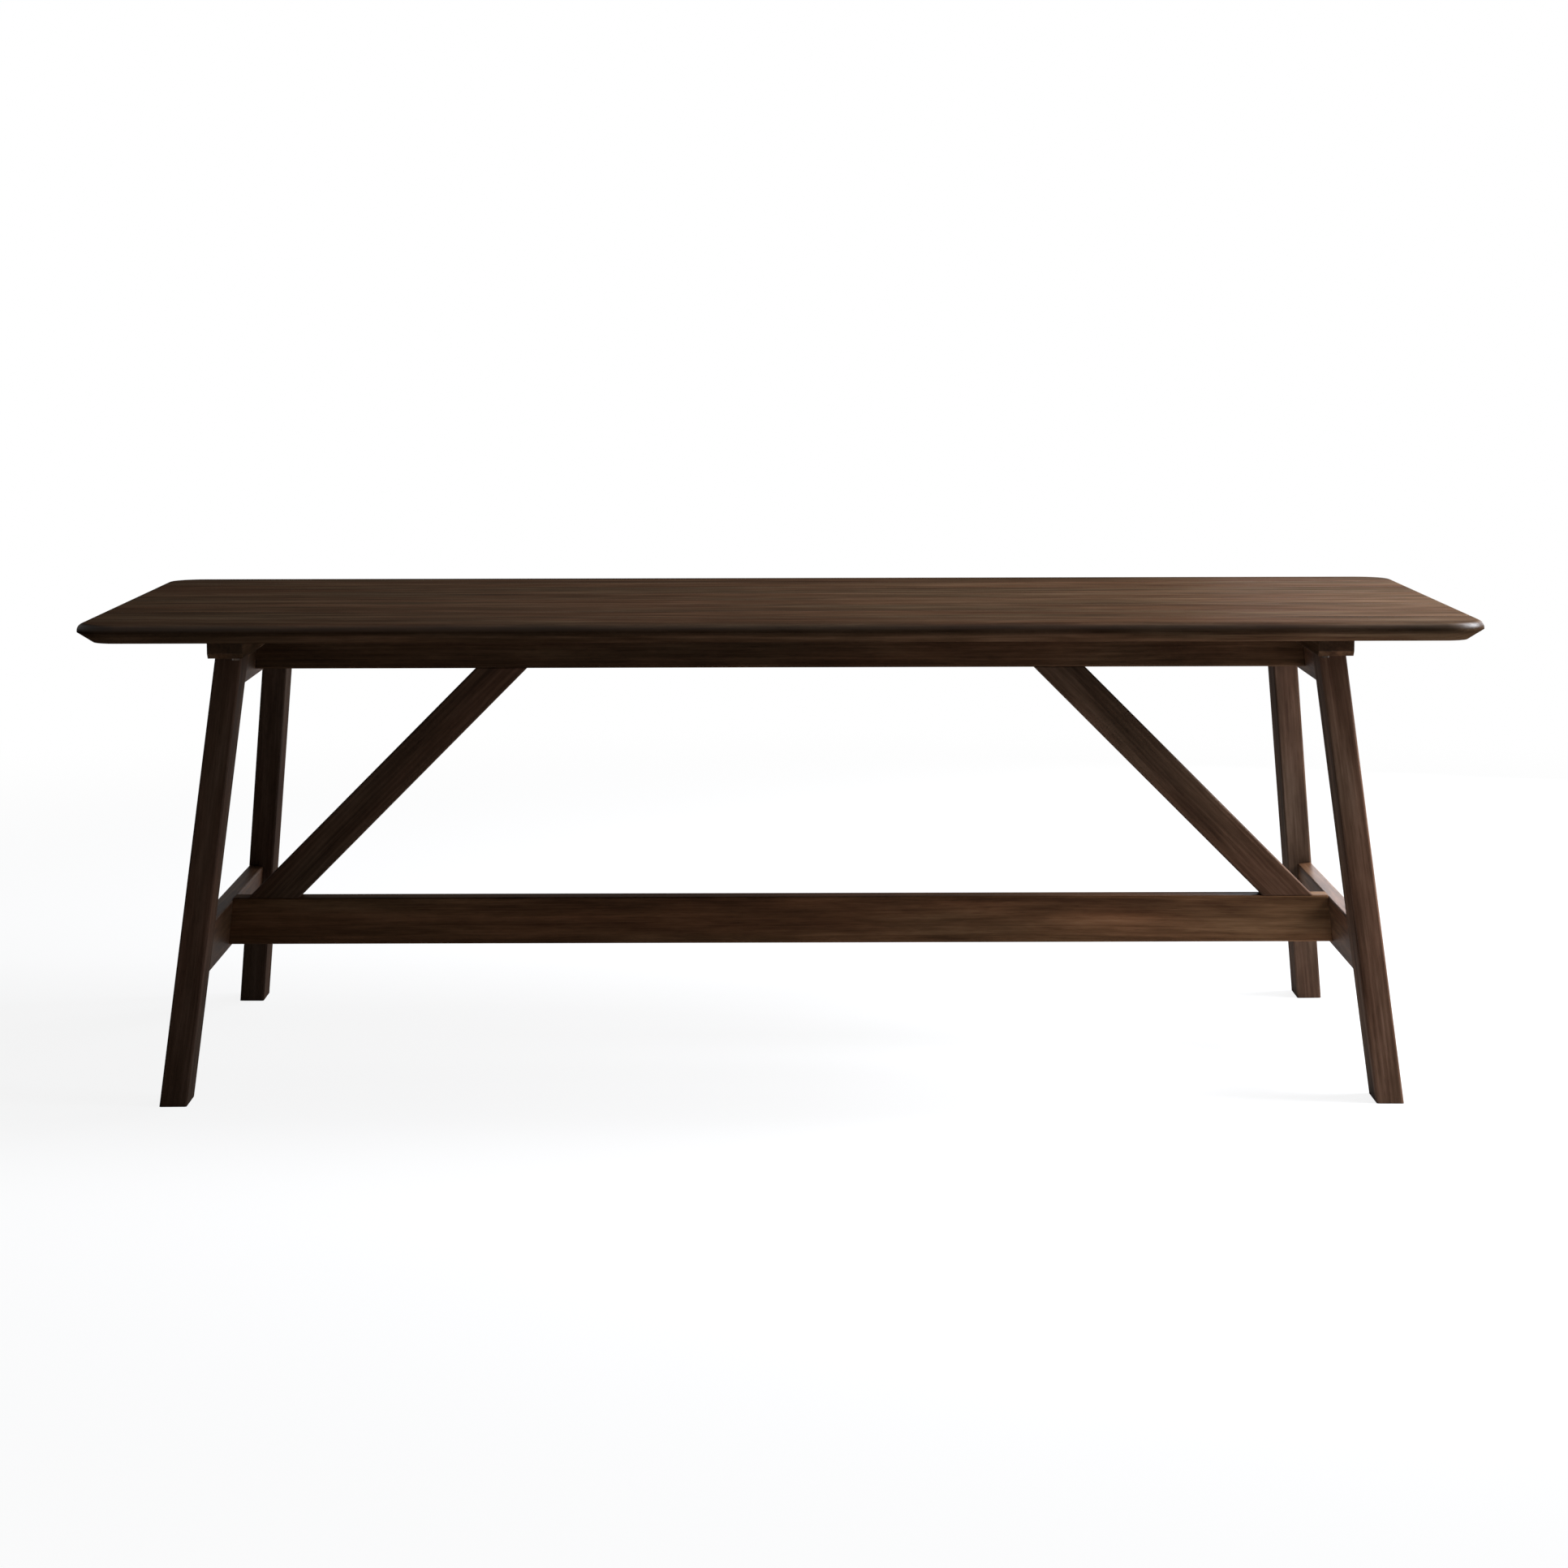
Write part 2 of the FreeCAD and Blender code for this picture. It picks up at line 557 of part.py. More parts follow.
def make_brace(side_name):
    """A brace from the stretcher up to the beam, with an upright tenon at each end."""
    side = SIDES[side_name]
    body = new_body(f"brace_{side_name}")
    shape = [
        (times(side, BRACE_FOOT), STRETCHER_TOP),
        (times(side, BRACE_HEAD), BEAM_BOTTOM),
        (times(side, f"({BRACE_HEAD} - {BRACE_LEVEL_WIDTH})"), BEAM_BOTTOM),
        (times(side, f"({BRACE_FOOT} - {BRACE_LEVEL_WIDTH})"), STRETCHER_TOP),
    ]
    sketch = outline(body, "outline", "XZ_Plane", shape)
    pad(body, "timber", sketch, "Sizes.brace_thickness", both_ways=True)
    slant = FreeCAD.Vector(-side * value(BRACE_RUN), 0, 1).normalize()
    dress(body, "Chamfer", "edges", "Sizes.brace_bevel_width", along(slant))
    half_length = f"({BRACE_LEVEL_WIDTH} / 2 - Sizes.brace_tenon_shoulder_width)"
    half_tenon = "Sizes.brace_tenon_length / 2"
    ends = (
        ("foot", BRACE_FOOT, f"({STRETCHER_TOP} - {half_tenon})"),
        ("head", BRACE_HEAD, f"({BEAM_BOTTOM} + {half_tenon})"),
    )
    for name, reach, level in ends:
        centre = times(side, f"({reach} - {BRACE_LEVEL_WIDTH} / 2)")
        tongue = rectangle(centre, level, half_length, half_tenon)
        sketch = outline(body, f"{name}_tenon_outline", "XZ_Plane", tongue)
        pad(body, f"{name}_tenon", sketch, "Sizes.brace_tenon_thickness", both_ways=True)


# The top and its cleats.

def make_cleat(side_name):
    """A cleat across the underside of the top, over the heads of a frame's two legs."""
    side = SIDES[side_name]
    body = new_body(f"cleat_{side_name}")
    half = f"({CLEAT_LENGTH} / 2)"
    shape = [
        (f"-{half}", UNDERSIDE),
        (f"-{half}", f"{CLEAT_UNDERSIDE} + Sizes.cleat_bevel_width"),
        (f"-({half} - Sizes.cleat_bevel_width)", CLEAT_UNDERSIDE),
        (f"{half} - Sizes.cleat_bevel_width", CLEAT_UNDERSIDE),
        (half, f"{CLEAT_UNDERSIDE} + Sizes.cleat_bevel_width"),
        (half, UNDERSIDE),
    ]
    sketch = outline(body, "outline", "YZ_Plane", shape, offset=times(side, CLEAT_INSIDE))
    pad(body, "board", sketch, "Sizes.cleat_width", backwards=side < 0)
    base = f"{CLEAT_UNDERSIDE} - Sizes.overrun_length"
    through = "Sizes.cleat_thickness + 2 * Sizes.overrun_length"
    for index, share in enumerate(SCREW_PLACE_SHARES):
        for end_name, end in ENDS.items():
            bore(body, f"{end_name}_top_screw_hole_{index}",
                 "Sizes.top_screw_diameter + 2 * Sizes.top_screw_gap", through,
                 (times(side, TOP_SCREW_X), times(end, f"{share} * {BOARD_WIDTH}"), base))
    half_length = f"({LEG_LEVEL_WIDTH} / 2 - Sizes.head_tenon_shoulder_width + Sizes.fit_gap)"
    half_thickness = "(Sizes.head_tenon_thickness / 2 + Sizes.fit_gap)"
    for end_name, end in ENDS.items():
        mouth = rectangle(times(side, LEG_HEAD_X), times(end, leg_head_y()), half_thickness, half_length)
        sketch = outline(body, f"{end_name}_mouth", "XY_Plane", mouth, offset=CLEAT_UNDERSIDE)
        pocket(body, f"{end_name}_mortise", sketch, "Sizes.head_tenon_length + Sizes.depth_gap",
               backwards=True)


def make_board(index):
    """One board of the top. The two outer boards carry the rounded corners and the long edges."""
    body = new_body(f"top_board_{index + 1}")
    near = f"({index} * {BOARD_WIDTH} - Sizes.top_width / 2)"
    far = f"({index + 1} * {BOARD_WIDTH} - Sizes.top_width / 2)"
    half = "Sizes.top_length / 2"
    shape = [(f"-{half}", near), (half, near), (half, far), (f"-{half}", far)]
    sketch = outline(body, "outline", "XY_Plane", shape, offset=UNDERSIDE)
    pad(body, "blank", sketch, "Sizes.top_thickness")
    rim_x = value(half)
    rim_y = value("Sizes.top_width / 2")
    low = value(UNDERSIDE)
    high = value("Sizes.table_height")
    outer = index in (0, BOARD_COUNT - 1)
    if outer:
        dress(body, "Fillet", "corners", "Sizes.corner_radius",
              lambda start, end: along(Z_AXIS)(start, end) and same(abs(start.y), rim_y))

    def on_rim(level):
        def wanted(start, end):
            if not (same(start.z, level) and same(end.z, level)):
                return False
            end_edge = same(start.x, end.x) and same(abs(start.x), rim_x)
            long_edge = same(start.y, end.y) and same(abs(start.y), rim_y)
            corner = not same(start.x, end.x) and not same(start.y, end.y)
            return end_edge or long_edge or corner
        return wanted

    dress(body, "Chamfer", "undercut", "Sizes.undercut_height", on_rim(low), "Sizes.undercut_depth")
    dress(body, "Fillet", "upper_edge", "Sizes.top_edge_radius", on_rim(high))
    for end in ENDS.values():
        for share in SCREW_PLACE_SHARES:
            if int(BOARD_COUNT / 2 + end * share) != index:
                continue
            y = times(end, f"{share} * {BOARD_WIDTH}")
            for side_name, side in SIDES.items():
                bore(body, f"{side_name}_screw_hole", "Sizes.top_screw_diameter + 2 * Sizes.fit_gap",
                     "Sizes.top_screw_depth + Sizes.depth_gap + Sizes.overrun_length",
                     (times(side, TOP_SCREW_X), y, f"{UNDERSIDE} - Sizes.overrun_length"))


# Fasteners. Each kind is one node: a group of separate solids, alike in shape.

def cylinder(name, diameter, height, z="0"):
    item = doc.addObject("Part::Cylinder", name)
    set_sizes(item, Radius=f"({diameter}) / 2", Height=height)
    put(item, "Placement", z=z)
    return item


def group(name, pieces):
    node = doc.addObject("Part::Compound", name)
    node.Label = name
    node.Links = pieces
    nodes.append(node)


def spread(name, parts, places):
    """Join the parts of a fastener, once for each place: x, y, z, axis and angle."""
    pieces = []
    for index, (x, y, z, axis, angle) in enumerate(places):
        piece = doc.addObject("Part::MultiFuse", f"{name}_{index + 1}")
        piece.Shapes = parts
        put(piece, "Placement", x, y, z, axis, angle)
        pieces.append(piece)
    group(name, pieces)


def make_frame_bolts():
    """Flat-headed bolts through the rails into the beam and the stretcher."""
    head = cylinder("bolt_head", "Sizes.bolt_head_diameter", "Sizes.bolt_head_thickness",
                    "-Sizes.bolt_head_thickness")
    shank = cylinder("bolt_shank", "Sizes.bolt_diameter", "Sizes.bolt_length")
    places = []
    for joint in JOINTS:
        for side in SIDES.values():
            x, z = world_point(side, "0", joint_middle(joint))
            places.append((x, "0", z, Y_AXIS * -side, f"{QUARTER_TURN} + {LEAN}"))
    spread("frame_bolts", [head, shank], places)


def make_barrel_nuts():
    """Cross-drilled nuts that the frame bolts screw into."""
    pieces = []
    for joint in JOINTS:
        for side_name, side in SIDES.items():
            x, z = world_point(side, "Sizes.rail_thickness + Sizes.nut_distance", joint_middle(joint))
            stem = f"{joint}_{side_name}"
            solid = doc.addObject("Part::Cylinder", f"nut_blank_{stem}")
            set_sizes(solid, Radius="Sizes.nut_diameter / 2", Height="Sizes.nut_length")
            put(solid, "Placement", x, "-Sizes.nut_length / 2", z, X_AXIS * -1, str(QUARTER_TURN))
            hole = doc.addObject("Part::Cylinder", f"nut_hole_{stem}")
            set_sizes(hole, Radius="Sizes.bolt_diameter / 2 + Sizes.fit_gap",
                      Height="Sizes.nut_diameter + 2 * Sizes.overrun_length")
            inward = "Sizes.rail_thickness + Sizes.nut_distance - Sizes.nut_diameter / 2"
            x, z = world_point(side, f"{inward} - Sizes.overrun_length", joint_middle(joint))
            put(hole, "Placement", x, "0", z, Y_AXIS * -side, f"{QUARTER_TURN} + {LEAN}")
            nut = doc.addObject("Part::Cut", f"nut_{stem}")
            nut.Base = solid
            nut.Tool = hole
            pieces.append(nut)
    group("barrel_nuts", pieces)


def make_top_screws():
    """Coach screws up through the cleats into the top."""
    head = doc.addObject("Part::Prism", "screw_head")
    head.Polygon = HEAD_SIDES
    set_sizes(head, Circumradius=f"Sizes.screw_head_width / 2 / cos({HALF_TURN} / {HEAD_SIDES})",
              Height="Sizes.screw_head_height")
    put(head, "Placement", z="-Sizes.screw_head_height")
    shank = cylinder("screw_shank", "Sizes.top_screw_diameter",
                     "Sizes.cleat_thickness + Sizes.top_screw_depth")
    places = []
    for side in SIDES.values():
        for end in ENDS.values():
            for share in SCREW_PLACE_SHARES:
                y = times(end, f"{share} * {BOARD_WIDTH}")
                places.append((times(side, TOP_SCREW_X), y, CLEAT_UNDERSIDE, Z_AXIS, "0"))
    spread("top_screws", [head, shank], places)


def check_objects():
    """Stop where an object failed."""
    for item in doc.Objects:
        if "Invalid" in item.State or "Error" in item.State:
            raise ValueError(f"{item.Name}: {item.State}")


def write_nodes():
    for item in nodes:
        if item.Shape.isNull() or not item.Shape.isValid():
            raise ValueError(f"{item.Label} has no valid shape")
    os.makedirs("parts", exist_ok=True)
    for item in nodes:
        item.Shape.exportStep(f"parts/{item.Label}.step")
        print(item.Label, len(item.Shape.Solids), round(item.Shape.Volume), item.Shape.BoundBox)
    print(len(nodes), "nodes")


for board in range(BOARD_COUNT):
    make_board(board)
for side_label in SIDES:
    make_cleat(side_label)
    for end_label in ENDS:
        make_leg(side_label, end_label)
    for joint_label in JOINTS:
        make_rail(side_label, joint_label)
    make_brace(side_label)
make_beam()
make_stretcher()
make_frame_bolts()
make_barrel_nuts()
make_top_screws()
doc.recompute()
check_objects()
write_nodes()
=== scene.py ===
import math

import bpy
from mathutils import Matrix, Vector


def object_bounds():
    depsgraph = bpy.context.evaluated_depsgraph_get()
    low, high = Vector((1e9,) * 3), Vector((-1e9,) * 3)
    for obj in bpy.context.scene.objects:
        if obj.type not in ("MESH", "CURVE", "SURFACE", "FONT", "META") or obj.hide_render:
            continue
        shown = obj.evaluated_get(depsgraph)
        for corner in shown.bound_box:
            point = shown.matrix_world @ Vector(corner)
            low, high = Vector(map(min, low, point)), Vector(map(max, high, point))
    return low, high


# A dining table in dark stained wood, on a plain pale floor. Metres, +Z up, +X along the top.

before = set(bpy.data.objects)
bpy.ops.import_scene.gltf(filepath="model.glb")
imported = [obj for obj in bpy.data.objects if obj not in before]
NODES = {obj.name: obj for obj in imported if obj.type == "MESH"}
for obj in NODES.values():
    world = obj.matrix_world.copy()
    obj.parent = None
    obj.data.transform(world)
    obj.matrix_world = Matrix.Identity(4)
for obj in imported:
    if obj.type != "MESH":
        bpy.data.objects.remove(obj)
cad_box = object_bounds()
TOP_LEVEL = cad_box[1][2]

WHITE = (1.0, 1.0, 1.0, 1.0)


class Tree:
    """The nodes of a material or of the world. Each method adds what it names and gives back its output,
    so that a tree is written as nested calls."""

    def __init__(self, owner):
        owner.use_nodes = True
        self.nodes = owner.node_tree.nodes
        self.links = owner.node_tree.links
        self.nodes.clear()

    def feed(self, socket, given):
        """Link an output to the socket, or set the socket to a value."""
        if isinstance(given, bpy.types.NodeSocket):
            self.links.new(given, socket)
        else:
            socket.default_value = given

    def add(self, kind, output=0, settings=None, **inputs):
        """Any node. An underscore in the name of an input stands for a space."""
        node = self.nodes.new(kind)
        for key, setting in (settings or {}).items():
            setattr(node, key, setting)
        for key, given in inputs.items():
            self.feed(node.inputs[key.replace("_", " ")], given)
        return node.outputs[output]

    def math(self, operation, *numbers, clamp=False):
        node = self.nodes.new("ShaderNodeMath")
        node.operation = operation
        node.use_clamp = clamp
        for socket, given in zip(node.inputs, numbers):
            self.feed(socket, given)
        return node.outputs[0]

    def vector(self, operation, *vectors, scale=None):
        node = self.nodes.new("ShaderNodeVectorMath")
        node.operation = operation
        for socket, given in zip(node.inputs, vectors):
            self.feed(socket, given)
        if scale is not None:
            self.feed(node.inputs["Scale"], scale)
        return node.outputs["Value" if operation in ("DOT_PRODUCT", "LENGTH") else "Vector"]

    def place(self):
        return self.add("ShaderNodeTexCoord", "Object")

    def height(self, vector):
        return self.add("ShaderNodeSeparateXYZ", "Z", Vector=vector)

    def noise(self, place, cells, detail=2.0, roughness=0.5, output="Fac"):
        """Noise with so many cells to the metre along X, Y and Z."""
        return self.add("ShaderNodeTexNoise", output, Vector=self.vector("MULTIPLY", place, cells),
                        Scale=1.0, Detail=detail, Roughness=roughness)

    def range(self, source, low, high, to_low=0.0, to_high=1.0, kind="LINEAR"):
        return self.add("ShaderNodeMapRange", "Result", {"interpolation_type": kind}, Value=source,
                        From_Min=low, From_Max=high, To_Min=to_low, To_Max=to_high)

    def ramp(self, source, stops):
        node = self.nodes.new("ShaderNodeValToRGB")
        self.feed(node.inputs[0], source)
        elements = node.color_ramp.elements
        while len(elements) < len(stops):
            elements.new(0.5)
        for element, (position, colour) in zip(elements, stops):
            element.position = position
            element.color = (*colour, 1.0)
        return node.outputs["Color"]

    def mix(self, share, first, second, blend="MIX"):
        """A mix of two colours. The node's inputs 6 and 7 are its colours, and output 2 is the mixed one."""
        node = self.nodes.new("ShaderNodeMix")
        node.data_type = "RGBA"
        node.blend_type = blend
        self.feed(node.inputs[0], share)
        self.feed(node.inputs[6], first)
        self.feed(node.inputs[7], second)
        return node.outputs[2]

    def blend(self, share, first, second):
        """A mix of two shaders."""
        node = self.nodes.new("ShaderNodeMixShader")
        for socket, given in zip(node.inputs, (share, first, second)):
            self.feed(socket, given)
        return node.outputs[0]

    def shown(self):
        """1 for what is seen directly, mirrored or through something clear, and 0 for other light."""
        rays = self.nodes.new("ShaderNodeLightPath").outputs
        seen = self.math("MAXIMUM", rays["Is Camera Ray"], rays["Is Glossy Ray"])
        return self.math("MAXIMUM", seen, rays["Is Transmission Ray"])

    def finish(self, kind, shader):
        self.links.new(shader, self.nodes.new(kind).inputs["Surface"])


def new_material(name, write):
    """A material whose nodes the given function writes. The function gives back the shader."""
    material = bpy.data.materials.new(name)
    tree = Tree(material)
    tree.finish("ShaderNodeOutputMaterial", write(tree))
    return material


def times(colour, factor):
    return tuple(part * factor for part in colour)


def dyed(dye, colour):
    return tuple(own * other for own, other in zip(dye, colour))


# Walnut brown stain, from the pores and the late wood to the early wood, as linear colours.
STAIN = (
    (0.00, (0.0085, 0.0034, 0.0016)),
    (0.30, (0.0240, 0.0105, 0.0048)),
    (0.52, (0.0420, 0.0195, 0.0093)),
    (0.74, (0.0660, 0.0325, 0.0165)),
    (1.00, (0.1000, 0.0540, 0.0300)),
)

# What multiplies the stain where the wood is redder and where it is greyer, and the patches of the two:
# cells to the metre along the fibres, across them and in depth, and the stretch of the noise in between.
WARM = (1.06, 0.97, 0.93, 1.0)
COOL = (0.94, 1.02, 1.02, 1.0)
HUE_CELLS = (2.5, 14.0, 14.0)
HUE_STRETCH = (0.35, 0.65)

# End grain drinks more stain, by up to this share, as the fibres come to meet the face squarely.
END_GRAIN = (0.012, 0.007, 0.0045, 1.0)
END_GRAIN_SHARE = 0.45
END_GRAIN_FACING = (0.72, 0.94)

# Stain that is rubbed thin along the edges, in patches: its colour, how wide it is, how far the face must
# turn there, the patches, and how much of it there is on the frame and on the top.
RUBBED = (0.120, 0.066, 0.040)
EDGE_REACH = 0.0028
EDGE_SAMPLES = 4
EDGE_TURN = (0.02, 0.22)
WEAR_CELLS = (9.0, 40.0, 40.0)
WEAR_DETAIL = 3.0
WEAR_NOISE_ROUGHNESS = 0.6
WEAR_STRETCH = (0.38, 0.62)
FRAME_WEAR = 0.6
TOP_WEAR = 0.15

# The rim of the top is painted darker in a band, as painted shade, which fades in and out between these
# depths under its face.
RIM_PAINTED_SHADE = (0.004, 0.002, 0.001, 1.0)
RIM_SHADE_SHARE = 0.45
RIM_SHADE_FROM = (0.0192, 0.0162)
RIM_SHADE_TO = (0.0055, 0.0018)

# How much lacquer the woods carry, and how dull it is. The rim's comes in and gives way to the top's as
# the face turns up, from 0 for upright to 1 for level.
FRAME_LACQUER = 0.045
RAIL_LACQUER = 0.16
TOP_LACQUER = 0.012
RIM_LACQUER = 0.20
RIM_COMES_IN = (0.05, 0.45)
RIM_GIVES_WAY = (0.75, 0.99)
LACQUER_ROUGHNESS = 0.4

# How rough the wood is from the low streaks to the high ones, how high streaks stand and how deep pores
# lie, and the strength and distance of the bump they make.
WOOD_ROUGHNESS = (0.50, 0.62)
ROUGHNESS_STRETCH = (0.3, 0.7)
STREAK_HEIGHT = 0.5
PORE_DEPTH = 0.6
WOOD_BUMP = 0.35
WOOD_BUMP_DISTANCE = 0.0005

# Layers of the figure: cells to the metre along the fibres and across them, detail and roughness of the
# noise, the stretch of it that counts as 0 to 1, and the layer's share in the figure.
STREAKS = (5.0, 330.0, 4.0, 0.62, 0.24, 0.76, 0.27)
FLECKS = (9.0, 70.0, 3.0, 0.60, 0.26, 0.74, 0.33)
BANDS = (2.2, 24.0, 3.0, 0.55, 0.28, 0.72, 0.36)
PORES = (42.0, 1500.0, 1.0, 0.50, 0.60, 0.70, 0.12)

# Growth rings: radians to the metre, how far noise moves them and its cells, their sharpness and share.
RING_RADIANS = 780.0
RING_SPREAD = 7.0
RING_SPREAD_CELLS = (0.9, 22.0, 22.0)
RING_SHARPNESS = 1.7
RING_SHARE = 0.07
ACROSS_FIBRES = (0.0, 1.0, 1.0)

# How far the fibres stray from a straight line, and in what cells.
STRAY = 0.030
STRAY_CELLS = (1.1, 5.0, 5.0)
NOISE_MIDDLE = (0.5, 0.5, 0.5)


def layer_noise(tree, place, layer):
    along, across, detail, roughness = layer[:4]
    return tree.noise(place, (along, across, across), detail, roughness)


def layer_level(tree, noise, layer):
    low, high = layer[4:6]
    return tree.range(noise, low, high)


def wood_figure(tree, place, heart):
    """How pale the wood is, from 0 to 1. Gives back the figure, the streaks and the pores."""
    stray = tree.vector("SUBTRACT", tree.noise(place, STRAY_CELLS, output="Color"), NOISE_MIDDLE)
    wavy = tree.vector("ADD", place, tree.vector("SCALE", stray, scale=STRAY))

    from_heart = tree.vector("SUBTRACT", wavy, (0.0, *heart))
    radius = tree.vector("LENGTH", tree.vector("MULTIPLY", from_heart, ACROSS_FIBRES))
    spread = tree.noise(place, RING_SPREAD_CELLS, 1.0)
    phase = tree.math("ADD", tree.math("MULTIPLY", radius, RING_RADIANS),
                      tree.math("MULTIPLY", spread, RING_SPREAD))
    rings = tree.math("MULTIPLY_ADD", tree.math("SINE", phase), 0.5, 0.5)
    rings = tree.math("POWER", rings, RING_SHARPNESS)

    streaks = layer_noise(tree, wavy, STREAKS)
    figure = tree.math("MULTIPLY", rings, RING_SHARE)
    for noise, layer in (
        (streaks, STREAKS),
        (layer_noise(tree, wavy, FLECKS), FLECKS),
        (layer_noise(tree, wavy, BANDS), BANDS),
    ):
        part = tree.math("MULTIPLY", layer_level(tree, noise, layer), layer[-1])
        figure = tree.math("ADD", figure, part)
    pores = layer_level(tree, layer_noise(tree, wavy, PORES), PORES)
    figure = tree.math("SUBTRACT", figure, tree.math("MULTIPLY", pores, PORES[-1]), clamp=True)
    return figure, streaks, pores


def wood(name, grain, across, heart, shift, dye, lacquer=FRAME_LACQUER, on_top=False):
    """Stained wood. grain and across are the directions of the fibres and of the board's width, heart is
    where the rings centre, across and in depth, shift moves the pattern along, and dye multiplies the
    stain, together with any painted light and shade set for the piece. on_top is true for a board of the
    top, whose rim is glossier and carries a band of painted shade."""
    grain = Vector(grain).normalized()
    depth = grain.cross(Vector(across)).normalized()
    across = depth.cross(grain)
    turn = Matrix((grain, across, depth)).to_euler()

    def write(tree):
        place = tree.add("ShaderNodeMapping", settings={"vector_type": "POINT"}, Vector=tree.place(),
                         Rotation=turn, Location=(shift, 0.0, 0.0))
        figure, streaks, pores = wood_figure(tree, place, heart)
        normal = tree.add("ShaderNodeNewGeometry", "True Normal")
        soft = tree.add("ShaderNodeBevel", "Normal", {"samples": EDGE_SAMPLES}, Radius=EDGE_REACH)

        # The stain and its hue.
        colour = tree.ramp(figure, [(stop, dyed(dye, stain)) for stop, stain in STAIN])
        hue = tree.range(tree.noise(place, HUE_CELLS), *HUE_STRETCH)
        colour = tree.mix(hue, tree.mix(1.0, colour, WARM, "MULTIPLY"),
                          tree.mix(1.0, colour, COOL, "MULTIPLY"))
        facing = tree.math("ABSOLUTE", tree.vector("DOT_PRODUCT", normal, tuple(grain)))
        end_grain = tree.range(facing, *END_GRAIN_FACING, 0.0, END_GRAIN_SHARE)
        colour = tree.mix(end_grain, colour, END_GRAIN)

        # The rounded rim of the top looks up and out: more lacquer there, and a band of painted shade.
        shine = lacquer
        if on_top:
            up = tree.height(soft)
            shine = tree.math("MULTIPLY", tree.range(up, *RIM_COMES_IN),
                              tree.range(up, *RIM_GIVES_WAY, RIM_LACQUER, lacquer))
            # Painted shade: a dark band on the rim, set by height under the top's face.
            level = tree.height(tree.place())
            rim_shade_in = tree.range(level, TOP_LEVEL - RIM_SHADE_FROM[0], TOP_LEVEL - RIM_SHADE_FROM[1], 0.0, RIM_SHADE_SHARE)
            rim_shade_out = tree.range(level, TOP_LEVEL - RIM_SHADE_TO[0], TOP_LEVEL - RIM_SHADE_TO[1], 1.0, 0.0)
            colour = tree.mix(tree.math("MULTIPLY", rim_shade_in, rim_shade_out), colour, RIM_PAINTED_SHADE)

        # Worn edges.
        turned = tree.math("SUBTRACT", 1.0, tree.vector("DOT_PRODUCT", soft, normal))
        edge = tree.range(turned, *EDGE_TURN)
        patches = tree.noise(place, WEAR_CELLS, WEAR_DETAIL, WEAR_NOISE_ROUGHNESS)
        patchy = tree.range(patches, *WEAR_STRETCH)
        worn = tree.math("MULTIPLY", tree.math("MULTIPLY", edge, patchy), TOP_WEAR if on_top else FRAME_WEAR)
        colour = tree.mix(worn, colour, (*dyed(dye, RUBBED), 1.0))

        # Streaks stand up a little, and pores lie deeper.
        height = tree.math("SUBTRACT", tree.math("MULTIPLY", streaks, STREAK_HEIGHT),
                           tree.math("MULTIPLY", pores, PORE_DEPTH))
        bump = tree.add("ShaderNodeBump", "Normal", Strength=WOOD_BUMP, Distance=WOOD_BUMP_DISTANCE,
                        Height=height, Normal=soft)
        rough = tree.range(streaks, *ROUGHNESS_STRETCH, *WOOD_ROUGHNESS)
        return tree.add("ShaderNodeBsdfPrincipled", "BSDF", Base_Color=colour, Roughness=rough, Normal=bump,
                        Specular_IOR_Level=0.0, Coat_Weight=shine, Coat_Roughness=LACQUER_ROUGHNESS,
                        Coat_Normal=soft)

    return new_material(name, write)


# Metal: the cells of its clouds and of its fine lines, the stretch of the clouds that counts for its
# colour, how much rougher they make it, and the bump of the lines.
CLOUD_CELLS = (160.0, 160.0, 160.0)
CLOUD_DETAIL = 3.0
CLOUD_NOISE_ROUGHNESS = 0.6
LINE_CELLS = (30.0, 2200.0, 30.0)
SHADE_STRETCH = (0.35, 0.65)
ROUGHER = 0.18
METAL_BUMP = 0.15
METAL_BUMP_DISTANCE = 0.0001


def metal(name, colour, roughness, dull):
    """A small turned or pressed metal part, a little duller and darker in patches."""

    def write(tree):
        place = tree.place()
        cloud = tree.noise(place, CLOUD_CELLS, CLOUD_DETAIL, CLOUD_NOISE_ROUGHNESS)
        lines = tree.noise(place, LINE_CELLS)
        shade = tree.mix(tree.range(cloud, *SHADE_STRETCH), (*colour, 1.0), (*times(colour, dull), 1.0))
        bump = tree.add("ShaderNodeBump", "Normal", Strength=METAL_BUMP, Distance=METAL_BUMP_DISTANCE,
                        Height=lines)
        rough = tree.range(cloud, *ROUGHNESS_STRETCH, roughness, roughness + ROUGHER)
        return tree.add("ShaderNodeBsdfPrincipled", "BSDF", Base_Color=shade, Roughness=rough, Metallic=1.0,
                        Normal=bump)

    return new_material(name, write)


def dress(node, material):
    for slot in NODES[node].material_slots:
        slot.material = material


# How far the legs lean and splay, which way each side and end lies, and the directions of the fibres.
LEAN = math.radians(6.5)
SPLAY = math.radians(12.75)
SIDES = {"left": -1, "right": 1}
ENDS = {"front": -1, "rear": 1}
ALONG_X = (1, 0, 0)
ALONG_Y = (0, 1, 0)
ALONG_Z = (0, 0, 1)

